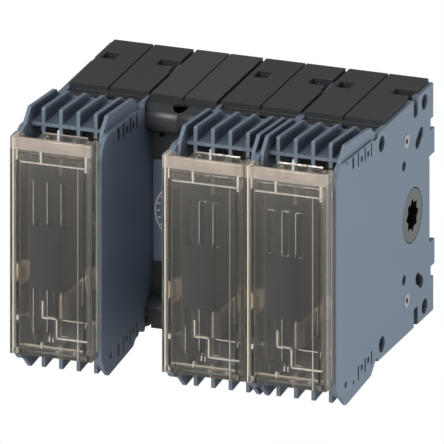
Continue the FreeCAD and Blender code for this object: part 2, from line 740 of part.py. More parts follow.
def fuse_jaw(centre):
    """A spring jaw for a fuse link's blade, on a bar that ends in the front fingers."""
    half = JAW_WIDTH / 2
    low = JAW_BAR_HEIGHT - JAW_BAR_THICKNESS / 2
    high = JAW_BAR_HEIGHT + JAW_BAR_THICKNESS / 2
    base_back = -CHAMBER_FRONT - 0.2
    base_front = base_back - JAW_LEAF
    rear = AXIS_Y - FINGER_OFFSET
    pieces = [
        box(centre - half, centre + half, base_front, rear, low, high),
        box(centre - half, centre + half, base_front, base_back, low, JAW_TOP),
    ]
    inner = BLADE_THICKNESS / 2 + 0.2
    lip = -JAW_FRONT + JAW_LIP
    for side in (-1, 1):
        near = centre + side * inner
        far = near + side * JAW_LEAF
        flare = side * JAW_FLARE
        corners = [
            (near, base_back),
            (near, lip),
            (near + flare, -JAW_FRONT),
            (far + flare, -JAW_FRONT),
            (far, lip),
            (far, base_back),
        ]
        pieces.append(slab_z(corners, high - 0.5, JAW_TOP))
    return joined(pieces + contact_fork(centre, True))


def bridge(centre, start_angle):
    """A flat copper sector that bridges two contact forks; angles are about the shaft."""
    half = math.radians(BRIDGE_HALF_ANGLE)
    reach = BRIDGE_RADIUS * 2
    wedge = [
        (0, 0),
        (-reach * math.cos(half), reach * math.sin(half)),
        (-reach * math.cos(half), -reach * math.sin(half)),
    ]
    thick = BRIDGE_THICKNESS / 2
    blade = rod_x(-thick, thick, BRIDGE_RADIUS, 0, 0).common(slab_x(wedge, -thick, thick))
    inner = rod_x(-thick, thick, BRIDGE_INNER_RADIUS, 0, 0)
    blade = blade.cut(inner)
    blade.rotate(V(0, 0, 0), V(1, 0, 0), start_angle)
    blade.translate(V(centre, AXIS_Y, 0))
    return blade


def rotor(centre, left_end, right_end):
    """A pole's rotor: a moulded barrel, its journals and the slots of both bridges."""
    barrel = rod_x(
        centre - ROTOR_HALF_LENGTH, centre + ROTOR_HALF_LENGTH, ROTOR_RADIUS, AXIS_Y, 0
    )
    pieces = [barrel]
    journal_end = HALF_POLE - 0.1
    pockets = []
    for side, is_end in ((-1, left_end), (1, right_end)):
        if is_end:
            start = centre + side * (ROTOR_HALF_LENGTH - HUB_SLEEVE_DEPTH)
            end = centre + side * (ROTOR_HALF_LENGTH + 1)
            pockets.append(rod_x(start, end, JOURNAL_RADIUS + FIT / 2, AXIS_Y, 0))
        else:
            end = centre + side * journal_end
            pieces.append(rod_x(centre, end, JOURNAL_RADIUS, AXIS_Y, 0))
    bore = square(AXIS_Y, 0, SHAFT_SIZE + FIT)
    pockets.append(slab_x(bore, centre - HALF_POLE, centre + HALF_POLE))
    groove = BRIDGE_THICKNESS / 2 + FIT / 2
    spread = math.radians(BRIDGE_HALF_ANGLE + 1)
    reach = BRIDGE_RADIUS * 2
    for step in (-1, 1):
        wedge = [
            (AXIS_Y, 0),
            (AXIS_Y + step * reach * math.cos(spread), reach * math.sin(spread)),
            (AXIS_Y + step * reach * math.cos(spread), -reach * math.sin(spread)),
        ]
        sector = slab_x(wedge, centre - groove, centre + groove)
        core = rod_x(
            centre - groove, centre + groove, BRIDGE_INNER_RADIUS - FIT / 2, AXIS_Y, 0
        )
        pockets.append(sector.cut(core))
    return joined(pieces).cut(pockets).removeSplitter()


def star(radius_out, radius_in):
    """Corners of an eight-lobe socket, rounded between its outer and inner circles."""
    corners = []
    for k in range(STAR_LOBES * 2):
        radius = radius_out if k % 2 == 0 else radius_in
        angle = math.pi * k / STAR_LOBES
        corners.append((AXIS_Y + radius * math.cos(angle), radius * math.sin(angle), 0.5))
    return corners


def side_hub(centre, side):
    """The drive hub at one end of the rotor line, with its star socket."""
    disc_start = HALF_POLE - WALL + 0.05
    face = HALF_POLE + END_WALL - 0.1
    sleeve_start = ROTOR_HALF_LENGTH - HUB_SLEEVE_DEPTH + FIT
    pieces = [
        rod_x(centre + side * sleeve_start, centre + side * face, JOURNAL_RADIUS, AXIS_Y, 0),
        rod_x(centre + side * disc_start, centre + side * face, HUB_RADIUS, AXIS_Y, 0),
    ]
    socket = slab_x(
        star(STAR_OUTER_RADIUS, STAR_INNER_RADIUS),
        centre + side * (face - STAR_DEPTH),
        centre + side * (face + 1),
    )
    return joined(pieces).cut(socket).removeSplitter()


def switch_shaft():
    """The square shaft through all the rotors."""
    end = ROTOR_HALF_LENGTH - HUB_SLEEVE_DEPTH - FIT
    corners = [(*corner, SHAFT_CHAMFER) for corner in square(AXIS_Y, 0, SHAFT_SIZE)]
    return slab_x(corners, POLES[0] - end, POLES[-1] + end)


def mechanism_half(side):
    """One black half of the mechanism module's shell."""

    def at(offset):
        return MECHANISM_X + side * offset

    upper = [
        (-MECHANISM_FRONT, NOSE_FOOT),
        (-NOSE_FRONT, NOSE_FOOT, NOSE_RADIUS),
        (-NOSE_FRONT, MECHANISM_TOP, NOSE_RADIUS),
        (-MECHANISM_PLATE_FRONT, MECHANISM_TOP),
        (-MECHANISM_PLATE_FRONT, HALF_HEIGHT),
    ]
    shell = slab_x(
        mirrored(upper + back_profile()), at(SPLIT_GAP / 2), at(HALF_MECHANISM)
    )
    front = -MECHANISM_FRONT + 2 * MECHANISM_WALL + 0.6
    roof = MECHANISM_TOP - MECHANISM_WALL
    nose_front = -NOSE_FRONT + MECHANISM_WALL
    nose_foot = NOSE_FOOT + MECHANISM_WALL
    radius = NOSE_RADIUS - MECHANISM_WALL
    upper = [
        (front, nose_foot),
        (nose_front, nose_foot, radius),
        (nose_front, roof, radius),
        (-BACK_WALL, roof),
    ]
    cavity = slab_x(mirrored(upper), at(-1), at(HALF_MECHANISM - MECHANISM_WALL))
    half_plate = MECHANISM_PLATE_WIDTH / 2
    plate = box(
        at(PLATE_SPLIT / 2),
        at(half_plate),
        -MECHANISM_PLATE_FRONT,
        PLATE_BACK,
        HALF_HEIGHT,
        PLATE_TOP,
    )
    web = box(
        at(SPLIT_GAP / 2),
        at(HALF_MECHANISM - 1),
        -BEARING_WEB_FRONT,
        -BEARING_WEB_FRONT + BEARING_WEB,
        -BEARING_WEB_HALF_HEIGHT,
        BEARING_WEB_HALF_HEIGHT,
    )
    post = box(
        at(SPLIT_GAP / 2),
        at(HALF_MECHANISM - 1),
        DETENT_POST_Y,
        DETENT_POST_Y + DETENT_POST,
        -DETENT_REACH,
        DETENT_REACH,
    )
    pieces = [shell.cut(cavity), web] + both_ends([plate])
    if side < 0:
        pieces.append(post)
    body = joined(pieces)

    wide = HALF_MECHANISM + 1
    pocket_half = FRONT_PLATE_WIDTH / 2 + FIT
    pocket_back = -MECHANISM_FRONT + FRONT_PLATE_THICKNESS + FIT
    slider_half = SLIDER_WIDTH / 2 + SLIDER_GUIDE_GAP
    channel_front = SLIDER_FACE - SLIDER_GUIDE_GAP
    channel_back = channel_front + SLIDER_THICKNESS + 2 * SLIDER_GUIDE_GAP
    cuts = [
        box(
            at(-1),
            at(pocket_half),
            -MECHANISM_FRONT - 1,
            pocket_back,
            -FRONT_PLATE_HALF_HEIGHT - FIT,
            FRONT_PLATE_HALF_HEIGHT + FIT,
        ),
        rod_y(-MECHANISM_FRONT - 1, front + 1, FRONT_HUB_RADIUS + RUNNING_FIT, MECHANISM_X, 0),
        rod_y(
            -BEARING_WEB_FRONT - 1,
            -BEARING_WEB_FRONT + BEARING_WEB + 1,
            FRONT_STEM_RADIUS + RUNNING_FIT,
            MECHANISM_X,
            0,
        ),
        rod_x(at(0), at(wide), JOURNAL_RADIUS + RUNNING_FIT, AXIS_Y, 0),
        rod_y(
            -MECHANISM_FRONT - 1,
            front + 1,
            PEEP_HOLE_RADIUS,
            MECHANISM_X + PEEP_HOLE_OFFSET,
            PEEP_HOLE_HEIGHT,
        ),
        box(
            at(-1),
            at(slider_half),
            channel_front,
            channel_back,
            -SEAT + 1,
            -HALF_HEIGHT - 5,
        ),
    ]
    for height in (RIVET_HEIGHT, -RIVET_HEIGHT):
        cuts.append(rod_x(at(-1), at(wide), RIVET_RADIUS + FIT / 2, -RIVET_DEPTH, height))
    hole_y = -MECHANISM_PLATE_FRONT - TOOL_HOLE_RADIUS
    hole = rod_z(roof - 3, HALF_HEIGHT, TOOL_HOLE_RADIUS, MECHANISM_X, hole_y)
    cuts += both_ends([hole])
    spring_reach = SPRING_RADIUS + SPRING_WIRE + 0.2
    spring_y = channel_front + SLIDER_GUIDE_GAP + SLIDER_THICKNESS / 2
    cuts.append(
        box(
            at(-1),
            at(spring_reach),
            spring_y - spring_reach,
            spring_y + spring_reach,
            SPRING_STOP_TOP - 0.5,
            SLIDER_WINDOW_TOP + 0.3,
        )
    )
    body = body.cut(cuts)
    stop = box(
        at(SPLIT_GAP / 2),
        at(SLIDER_WINDOW_WIDTH / 2 - 0.3),
        channel_front - 0.3,
        channel_back + 0.3,
        SPRING_STOP_FOOT,
        SPRING_STOP_TOP,
    )
    hook = slab_x(rail_hook(), at(SPLIT_GAP / 2), at(HALF_MECHANISM))
    return joined([body, stop, hook])


def front_plate():
    """The blue-grey plate on the mechanism's front, with the hole for the drive hub."""
    half = FRONT_PLATE_WIDTH / 2
    high = FRONT_PLATE_HALF_HEIGHT
    corners = [
        (MECHANISM_X - half, -high, 1.0),
        (MECHANISM_X + half, -high, 1.0),
        (MECHANISM_X + half, high, 1.0),
        (MECHANISM_X - half, high, 1.0),
    ]
    back = -MECHANISM_FRONT + FRONT_PLATE_THICKNESS
    plate = slab_y(corners, -MECHANISM_FRONT, back)
    hole = rod_y(-MECHANISM_FRONT - 1, back + 1, FRONT_HUB_RADIUS + HUB_GAP, MECHANISM_X, 0)
    return plate.cut(hole)


def front_hub():
    """The front drive hub, whose square socket takes a handle's extension shaft."""
    face = -MECHANISM_FRONT - FRONT_HUB_PROUD
    gear_back = AXIS_Y - GEAR_RADIUS - GEAR_BACK
    pieces = [
        rod_y(face, face + FRONT_HUB_LENGTH, FRONT_HUB_RADIUS, MECHANISM_X, 0),
        rod_y(face, gear_back, FRONT_STEM_RADIUS, MECHANISM_X, 0),
        rod_y(face, AXIS_Y - GEAR_RADIUS + GEAR_FACE, FRONT_SPIGOT_RADIUS, MECHANISM_X, 0),
    ]
    socket = slab_y(square(MECHANISM_X, 0, DRIVE_SOCKET), face - 1, face + DRIVE_SOCKET_DEPTH)
    return joined(pieces).cut(socket)


def bevel_gear(bore, back_hub):
    """A 45 degree bevel gear: apex at the origin, big end at Z = the pitch radius."""
    small = (GEAR_RADIUS - GEAR_FACE) / GEAR_RADIUS
    root = GEAR_RADIUS - GEAR_DEDENDUM
    tip = GEAR_RADIUS + GEAR_ADDENDUM
    cone = Part.makeCone(
        root * small, root, GEAR_FACE, V(0, 0, GEAR_RADIUS - GEAR_FACE), V(0, 0, 1)
    )
    rim = Part.makeCylinder(root, GEAR_BACK, V(0, 0, GEAR_RADIUS), V(0, 0, 1))
    foot = root - 0.6
    section = [
        (foot, -GEAR_TOOTH_ROOT),
        (tip, -GEAR_TOOTH_TIP),
        (tip, GEAR_TOOTH_TIP),
        (foot, GEAR_TOOTH_ROOT),
    ]
    rings = []
    for scale in (small, 1.0):
        points = [V(a * scale, b * scale, GEAR_RADIUS * scale) for a, b in section]
        rings.append(Part.makePolygon(points + points[:1]))
    tooth = Part.makeLoft(rings, True, True)
    teeth = []
    for k in range(GEAR_TEETH):
        copy = tooth.copy()
        copy.rotate(V(0, 0, 0), V(0, 0, 1), 360.0 * k / GEAR_TEETH)
        teeth.append(copy)
    gear = joined([cone, rim] + back_hub + teeth)
    return gear.cut(bore).removeSplitter()


def shaft_gear():
    """The bevel gear on the shaft, whose hub runs in the right mechanism shell."""
    end = HALF_MECHANISM - 0.1
    hub = Part.makeCylinder(
        JOURNAL_RADIUS, end - GEAR_RADIUS, V(0, 0, GEAR_RADIUS), V(0, 0, 1)
    )
    bore = slab_z(square(0, 0, SHAFT_SIZE + FIT), 0, end + 1)
    gear = bevel_gear(bore, [hub])
    gear.rotate(V(0, 0, 0), V(0, 1, 0), 90)
    gear.translate(V(MECHANISM_X, AXIS_Y, 0))
    return gear


def front_gear():
    """The bevel gear on the front hub, set half a tooth on so that both mesh."""
    bore = Part.makeCylinder(FRONT_SPIGOT_RADIUS + FIT / 2, GEAR_RADIUS * 2)
    gear = bevel_gear(bore, [])
    gear.rotate(V(0, 0, 0), V(0, 0, 1), 180.0 / GEAR_TEETH)
    gear.rotate(V(0, 0, 0), V(1, 0, 0), 90)
    gear.translate(V(MECHANISM_X, AXIS_Y, 0))
    return gear


def shaft_collar():
    """The collar that carries the shaft in the left mechanism shell."""
    end = HALF_MECHANISM - 0.1
    inner = HALF_MECHANISM - MECHANISM_WALL - FIT
    pieces = [
        rod_x(MECHANISM_X - end, MECHANISM_X - inner, JOURNAL_RADIUS, AXIS_Y, 0),
        rod_x(MECHANISM_X - inner, MECHANISM_X - inner + 2, JOURNAL_RADIUS + 1.5, AXIS_Y, 0),
    ]
    bore = slab_x(
        square(AXIS_Y, 0, SHAFT_SIZE + FIT), MECHANISM_X - end - 1, MECHANISM_X - inner + 3
    )
    return joined(pieces).cut(bore)


def detent_spring():
    """A spring clip whose two leaves rest on the flats of the square shaft."""
    leaf = SHAFT_SIZE / 2 + DETENT_THICKNESS / 2 + 0.05
    back = DETENT_POST_Y - DETENT_THICKNESS / 2 - 0.05
    front = AXIS_Y - SHAFT_SIZE / 2 - 1.5
    path = [
        (front - 1.5, leaf + 1.2),
        (front, leaf),
        (back - 1.5, leaf),
        (back, leaf + 1.5),
        (back, DETENT_REACH - 0.5),
    ]
    start = MECHANISM_X - DETENT_OFFSET - DETENT_WIDTH / 2
    end = start + DETENT_WIDTH
    upper = slab_x(strip(path, DETENT_THICKNESS), start, end)
    web = box(
        start,
        end,
        back - DETENT_THICKNESS / 2,
        back + DETENT_THICKNESS / 2,
        -DETENT_REACH + 0.5,
        DETENT_REACH - 0.5,
    )
    return joined([upper, upside_down(upper), web])


def through_rivet(height):
    """One hollow rivet through the whole row of modules."""
    end = -LEFT_END - MODULE_GAP / 2 + END_WALL + RIVET_PROUD
    tube = rod_x(-end, end, RIVET_RADIUS, -RIVET_DEPTH, height)
    return tube.cut(rod_x(-end - 1, end + 1, RIVET_BORE_RADIUS, -RIVET_DEPTH, height))


def terminal_clamp(centre):
    """A box clamp that presses the wire against the terminal's tongue."""
    half = CLAMP_WIDTH / 2
    back = -TONGUE_DEPTH + STRIP / 2 + FIT + CLAMP_WALL
    frame = box(centre - half, centre + half, -CLAMP_FRONT, back, CLAMP_FOOT, TONGUE_TOP)
    window = box(
        centre - half + CLAMP_WALL - FIT,
        centre + half - CLAMP_WALL + FIT,
        -CLAMP_FRONT + CLAMP_WALL,
        back - CLAMP_WALL,
        CLAMP_FOOT - 1,
        TONGUE_TOP + 1,
    )
    hole = rod_y(-CLAMP_FRONT - 1, -CLAMP_FRONT + 3, SCREW_RADIUS + 0.05, centre, SCREW_HEIGHT)
    return frame.cut([window, hole])


def clamp_screw(centre):
    """A slotted screw that closes the box clamp."""
    head_back = -CHAMBER_FRONT - 0.1
    head_front = head_back - SCREW_HEAD_THICKNESS
    pieces = [
        rod_y(head_front, head_back, SCREW_HEAD_RADIUS, centre, SCREW_HEIGHT),
        rod_y(head_front, -CLAMP_FRONT + SCREW_REACH, SCREW_RADIUS, centre, SCREW_HEIGHT),
    ]
    slot = box(
        centre - SCREW_HEAD_RADIUS - 1,
        centre + SCREW_HEAD_RADIUS + 1,
        head_front - 1,
        head_front + SCREW_SLOT_DEPTH,
        SCREW_HEIGHT - SCREW_SLOT / 2,
        SCREW_HEIGHT + SCREW_SLOT / 2,
    )
    return joined(pieces).cut(slot)


def fuse_cover(centre):
    """The clear fuse cover: a tray with inner rails, thumb flange and hinge arms."""
    half = COVER_WIDTH / 2
    foot = COVER_FOOT
    back = -COVER_FRONT + COVER_DEPTH
    inside = -COVER_FRONT + COVER_WALL
    tray = box(centre - half, centre + half, -COVER_FRONT, back, foot, COVER_TOP)
    front_edges = [e for e in tray.Edges if all(v.Y < -COVER_FRONT + 0.01 for v in e.Vertexes)]
    tray = tray.makeFillet(COVER_EDGE_RADIUS, front_edges)
    hollow = box(
        centre - half + COVER_WALL,
        centre + half - COVER_WALL,
        inside,
        back + 1,
        foot + COVER_LIP,
        COVER_TOP + 1,
    )
    shelf_top = COVER_TOP - COVER_SHELF_DROP
    rail_top = shelf_top - COVER_SHELF
    pieces = [
        tray.cut(hollow),
        box(
            centre - COVER_RAIL_OFFSET,
            centre + COVER_RAIL_OFFSET,
            inside - 0.1,
            back + 2,
            rail_top,
            shelf_top,
        ),
        box(
            centre - THUMB_WIDTH / 2,
            centre + THUMB_WIDTH / 2,
            inside - 0.1,
            -THUMB_BACK,
            THUMB_HEIGHT,
            THUMB_HEIGHT + THUMB_THICKNESS,
        ),
    ]
    post = COVER_RAIL_OFFSET - COVER_RAIL / 2
    for offset in (-post, COVER_RIB_POST, post):
        rib = centre + offset
        pieces.append(
            box(rib - 0.5, rib + 0.5, inside - 0.1, back, shelf_top - 0.1, COVER_TOP - 0.5)
        )
    pieces.append(
        box(
            centre + COVER_BOSS_LEFT,
            centre + COVER_BOSS_RIGHT,
            inside - 0.1,
            inside + COVER_BOSS_DEPTH,
            COVER_TOP - COVER_BOSS_DROP - COVER_BOSS_HEIGHT,
            COVER_TOP - COVER_BOSS_DROP,
        )
    )
    path = [(centre + a, b) for a, b in COVER_STEP_RIB]
    pieces.append(slab_y(strip(path, COVER_RIB), inside - 0.1, inside + COVER_RIB))
    hinge_y = -HINGE_DEPTH
    hinge_z = -HINGE_HEIGHT
    arm = [
        (inside - 0.1, rail_top + 0.1),
        (-COVER_RAIL_BACK, rail_top + 0.1),
        (-COVER_RAIL_BACK, hinge_z + COVER_RAIL_TAPER, 3.0),
        (hinge_y + HINGE_EYE_RADIUS, hinge_z + 1.5),
        (hinge_y, hinge_z - HINGE_EYE_RADIUS),
        (back + 0.5, foot, 2.0),
        (inside - 0.1, foot + 0.1),
    ]
    for side in (-1, 1):
        outer = centre + side * COVER_RAIL_OFFSET
        inner = outer - side * COVER_RAIL
        pieces.append(slab_x(arm, inner, outer))
        pieces.append(rod_x(inner, outer, HINGE_EYE_RADIUS, hinge_y, hinge_z))
        end = centre + side * HINGE_PIN_REACH
        pieces.append(rod_x(inner, end, HINGE_PIN_RADIUS, hinge_y, hinge_z))
    slots = []
    for step in (-1, 0, 1):
        middle = centre + step * COVER_SLOT_PITCH
        slots.append(
            box(
                middle - COVER_SLOT_WIDTH / 2,
                middle + COVER_SLOT_WIDTH / 2,
                -COVER_FRONT - 1,
                -COVER_FRONT + COVER_SLOT_DEPTH,
                COVER_SLOT_FOOT,
                COVER_SLOT_FOOT + COVER_SLOT_HEIGHT,
            )
        )
    return joined(pieces).cut(both_ends(slots)).removeSplitter()


def rail_slider():
    """The spring-loaded slider that holds the lower edge of the rail."""
    half = SLIDER_WIDTH / 2
    front = SLIDER_FACE
    back = front + SLIDER_THICKNESS
    profile = [
        (front, SLIDER_TOP),
        (front, SLIDER_FOOT),
        (back, SLIDER_FOOT),
        (back, SLIDER_TOP - 2.0),
        (front + 0.8, SLIDER_TOP),
    ]
    plate = slab_x(profile, MECHANISM_X - half, MECHANISM_X + half)
    window = SLIDER_WINDOW_WIDTH / 2
    cuts = [
        box(
            MECHANISM_X - window,
            MECHANISM_X + window,
            front - 1,
            back + 1,
            SLIDER_WINDOW_FOOT,
            SLIDER_WINDOW_TOP,
        ),
        box(
            MECHANISM_X - 3,
            MECHANISM_X + 3,
            front - 1,
            back + 1,
            SLIDER_FOOT + 1.8,
            SLIDER_FOOT + 4.6,
        ),
    ]
    return plate.cut(cuts)


def rail_spring():
    """The coil spring between the shell's stop and the slider's window."""
    height = SLIDER_WINDOW_TOP - SPRING_STOP_TOP - 2 * SPRING_WIRE - 0.1
    steps = SPRING_TURNS * SPRING_SECTION_COUNT
    slope = math.atan2(height / SPRING_TURNS, 2 * math.pi * SPRING_RADIUS)
    rings = []
    for k in range(steps + 1):
        turn = 2 * math.pi * k / SPRING_SECTION_COUNT
        outward = V(math.cos(turn), math.sin(turn), 0)
        flat = math.cos(slope)
        along = V(-math.sin(turn) * flat, math.cos(turn) * flat, math.sin(slope))
        upward = along.cross(outward)
        middle = outward * SPRING_RADIUS + V(0, 0, height * k / steps)
        points = []
        for j in range(6):
            angle = math.pi * (j + 0.5) / 3
            across = outward * math.cos(angle) + upward * math.sin(angle)
            points.append(middle + across * SPRING_WIRE)
        rings.append(Part.makePolygon(points + points[:1]))
    coil = Part.makeLoft(rings, True, True)
    y = SLIDER_FACE + SLIDER_THICKNESS / 2
    coil.translate(V(MECHANISM_X, y, SPRING_STOP_TOP + SPRING_WIRE + 0.05))
    return coil


def write(name, shapes):
    """Write one node, made of one or more separate solids."""
    solids = []
    for shape in shapes:
        solids += shape.Solids
    shape = solids[0] if len(solids) == 1 else Part.makeCompound(solids)
    shape.exportStep("parts/" + name + ".step")
    print(name, len(solids), "solid(s)", "valid" if shape.isValid() else "INVALID")


def main():
    os.makedirs("parts", exist_ok=True)
    for k, centre in enumerate(POLES):
        pole = "pole_%d_" % (k + 1)
        first = k == 0
        last = k == len(POLES) - 1
        terminal = line_terminal(centre)
        jaw = fuse_jaw(centre)
        write(pole + "left_housing", [housing_half(centre, -1, first)])
        write(pole + "right_housing", [housing_half(centre, 1, last)])
        write(pole + "left_chamber", [chamber_half(centre, -1)])
        write(pole + "right_chamber", [chamber_half(centre, 1)])
        write(pole + "line_terminal", [terminal])
        write(pole + "load_terminal", [upside_down(terminal)])
        write(pole + "upper_jaw", [jaw])
        write(pole + "lower_jaw", [upside_down(jaw)])
        write(pole + "rotor", [rotor(centre, first, last)])
        write(pole + "lower_bridge", [bridge(centre, 0)])
        write(pole + "upper_bridge", [bridge(centre, 180)])
        write(pole + "fuse_cover", [fuse_cover(centre)])
    clamps = [terminal_clamp(centre) for centre in POLES]
    screws = [clamp_screw(centre) for centre in POLES]
    write("terminal_clamps", both_ends(clamps))
    write("clamp_screws", both_ends(screws))
    write("through_rivets", both_ends([through_rivet(RIVET_HEIGHT)]))
    write("left_side_hub", [side_hub(POLES[0], -1)])
    write("right_side_hub", [side_hub(POLES[-1], 1)])
    write("switch_shaft", [switch_shaft()])
    write("mechanism_left_shell", [mechanism_half(-1)])
    write("mechanism_right_shell", [mechanism_half(1)])
    write("mechanism_front_plate", [front_plate()])
    write("front_drive_hub", [front_hub()])
    write("front_bevel_gear", [front_gear()])
    write("shaft_bevel_gear", [shaft_gear()])
    write("shaft_collar", [shaft_collar()])
    write("detent_spring", [detent_spring()])
    write("rail_slider", [rail_slider()])
    write("rail_spring", [rail_spring()])


main()
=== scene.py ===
"""Dresses the fuse switch disconnector: materials, edges, light and camera.

All sizes are in metres. +Z is up, the front faces -Y and the origin is on the rail seat.
"""

import itertools
import json
import math

import bpy
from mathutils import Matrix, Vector


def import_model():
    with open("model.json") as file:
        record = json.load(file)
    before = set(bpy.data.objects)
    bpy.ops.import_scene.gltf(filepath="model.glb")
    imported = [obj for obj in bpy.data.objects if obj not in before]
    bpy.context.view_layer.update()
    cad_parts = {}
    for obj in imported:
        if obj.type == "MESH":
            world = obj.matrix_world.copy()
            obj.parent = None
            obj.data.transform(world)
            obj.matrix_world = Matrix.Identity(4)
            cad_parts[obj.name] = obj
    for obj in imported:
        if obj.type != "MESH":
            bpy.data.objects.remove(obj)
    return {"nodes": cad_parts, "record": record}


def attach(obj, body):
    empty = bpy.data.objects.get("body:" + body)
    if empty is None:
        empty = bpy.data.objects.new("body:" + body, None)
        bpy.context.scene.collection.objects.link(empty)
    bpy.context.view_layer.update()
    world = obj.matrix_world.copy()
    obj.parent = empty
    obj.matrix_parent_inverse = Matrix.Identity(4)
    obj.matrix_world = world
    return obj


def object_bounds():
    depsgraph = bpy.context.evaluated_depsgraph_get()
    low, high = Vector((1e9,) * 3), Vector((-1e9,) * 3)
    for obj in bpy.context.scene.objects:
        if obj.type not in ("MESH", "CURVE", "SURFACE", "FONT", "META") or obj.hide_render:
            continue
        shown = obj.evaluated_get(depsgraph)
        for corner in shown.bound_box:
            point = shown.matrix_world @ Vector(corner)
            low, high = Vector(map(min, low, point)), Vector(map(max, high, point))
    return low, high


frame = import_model()
cad_low, cad_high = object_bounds()

# The photograph's view
AZIMUTH = math.radians(20.0)
ELEVATION = math.radians(20.0)
VIEW_WIDTH = 0.1839
VIEW_CENTRE = Vector((0.0, -0.0559, 0.0003))
VIEW_DISTANCE = 0.9
VIEW_NEAREST = 0.01
VIEW_FARTHEST = 10.0

# The floor lies so low that an open cover stays above it
FLOOR_DROP = 0.02
FLOOR_HALF = 3.0
FLOOR_PAINT = (0.8, 0.8, 0.8, 1.0)

# Lamps: name, place, size and power
LAMPS = (
    ("key", (0.25, -0.35, 0.85), 0.5, 0.8),
    ("side", (0.95, 0.05, 0.12), 0.4, 4.3),
    ("front", (-0.12, -1.05, 0.6), 0.45, 9.0),
)

# The surround is white to the camera, and this strong to everything else
WHITE = (1.0, 1.0, 1.0, 1.0)
SURROUND = 0.28

# Colours as they show, before they are turned to linear light
HOUSING = (112, 126, 142)
# A lighter colour painted on the housing's rounded edges as a highlight
HOUSING_EDGE_HIGHLIGHT = (158, 174, 188)
BLACK = (54, 55, 57)
# A lighter colour painted on the black mouldings' rounded edges as a highlight
BLACK_EDGE_HIGHLIGHT = (60, 60, 62)
ROTOR = (30, 30, 32)
HUB = (96, 99, 100)
# Painted shade inside the side hubs' star sockets
SOCKET_SHADE = (8, 8, 8)
MARKING = (226, 228, 226)
SILVERED = (150, 146, 140)
# A painted highlight on the seat of each lower jaw
JAW_SEAT_HIGHLIGHT = (244, 244, 242)
# A shaded, flat grey copy of the silvered metal, painted on the lower jaws' leaves
JAW_LEAF_SHADE = (118, 117, 113)
ZINC = (176, 180, 184)
ALUMINIUM = (214, 218, 222)
NATURAL = (206, 202, 190)
SMOKE = (218, 211, 200)
SMOKE_SHADOW = (214, 208, 198)
# A pale colour painted on the covers' edges, ribs and posts as a highlight
COVER_EDGE_HIGHLIGHT = (234, 236, 236)
# A pale strip painted on each cover's inner side wall as a highlight
COVER_STRIP_HIGHLIGHT = (240, 236, 226)
# A lit band painted across the top of each cover's front
COVER_BAND_LIGHT = (220, 208, 196)

# Finishes: colour, its spread, roughness, its spread, grain scale, bump, share of metal
FINISHES = {
    "housing_blue_grey": (HOUSING, 0.03, 0.52, 0.06, 3000.0, 0.25, 0.0),
    # A lighter copy of the housing finish, painted on its edges as a highlight
    "housing_edge_highlight": (HOUSING_EDGE_HIGHLIGHT, 0.03, 0.45, 0.05, 3000.0, 0.1, 0.0),
    "front_plate": (HOUSING, 0.03, 0.5, 0.05, 3000.0, 0.25, 0.0),
    "moulding_black": (BLACK, 0.06, 0.5, 0.07, 2600.0, 0.35, 0.0),
    # A lighter copy of the black finish, painted on its edges as a highlight
    "black_edge_highlight": (BLACK_EDGE_HIGHLIGHT, 0.04, 0.4, 0.05, 2600.0, 0.1, 0.0),
    "shell_black": (BLACK, 0.06, 0.36, 0.05, 2600.0, 0.25, 0.0),
    "rotor_black": (ROTOR, 0.05, 0.42, 0.05, 2000.0, 0.2, 0.0),
    "hub_grey": (HUB, 0.04, 0.45, 0.05, 2200.0, 0.2, 0.0),
    "gear_natural": (NATURAL, 0.03, 0.4, 0.04, 2000.0, 0.15, 0.0),
    # The lower jaws' shaded, flat grey copy of the silvered metal
    "lower_jaw": (JAW_LEAF_SHADE, 0.03, 0.4, 0.05, 1500.0, 0.1, 0.0),
    "contact_silvered_copper": (SILVERED, 0.08, 0.32, 0.1, 1500.0, 0.15, 1.0),
    "zinc_steel": (ZINC, 0.06, 0.36, 0.1, 1800.0, 0.2, 1.0),
    "rivet_aluminium": (ALUMINIUM, 0.05, 0.34, 0.08, 1800.0, 0.15, 1.0),
}

# Rounded edges, and how close a mesh's split corners lie
EDGE_WIDTH = 0.00026
COVER_EDGE_WIDTH = 0.00028
EDGE_ANGLE = math.radians(40.0)
EDGE_SEGMENTS = 2
CORNER_REACH = 0.000002

# Broad unevenness of the surfaces, and the height of their grain
BROAD_SCALE = 45.0
GRAIN_HEIGHT = 0.0001

# How far the painted shade in crevices reaches and how dark it gets
CREVICE_REACH = 0.011
CREVICE_SHADE = 0.32
CREVICE_SAMPLES = 8

# The cover's plastic, and its edges, which are painted pale as a highlight and let less
# light through
COVER_ROUGHNESS = 0.03
COVER_INDEX = 1.49
COVER_EDGE_ROUGHNESS = 0.25
COVER_EDGE_CLEAR = 0.25

# The cover's haze from its foot to its top, in the band of its front and in its sides:
# painted light that makes the top and foot, the band and the sides paler
HAZE_REACH = 0.052
HAZE_LIGHT_STOPS = ((0.0, 0.02), (0.3, 0.0), (0.62, 0.0), (0.86, 0.02), (0.94, 0.07), (1.0, 0.07))
BAND_FOOT = 0.0466
BAND_BACK = -0.1195
BAND_LIGHT_HAZE = 0.34
COVER_CENTRES = (-0.05175, 0.01525, 0.05175)
INNER_SIDE = -0.0165
INNER_SIDE_LIGHT_HAZE = 0.85
OUTER_SIDE = 0.018
OUTER_SIDE_LIGHT_HAZE = 0.14
SIDE_REACH = 0.0002

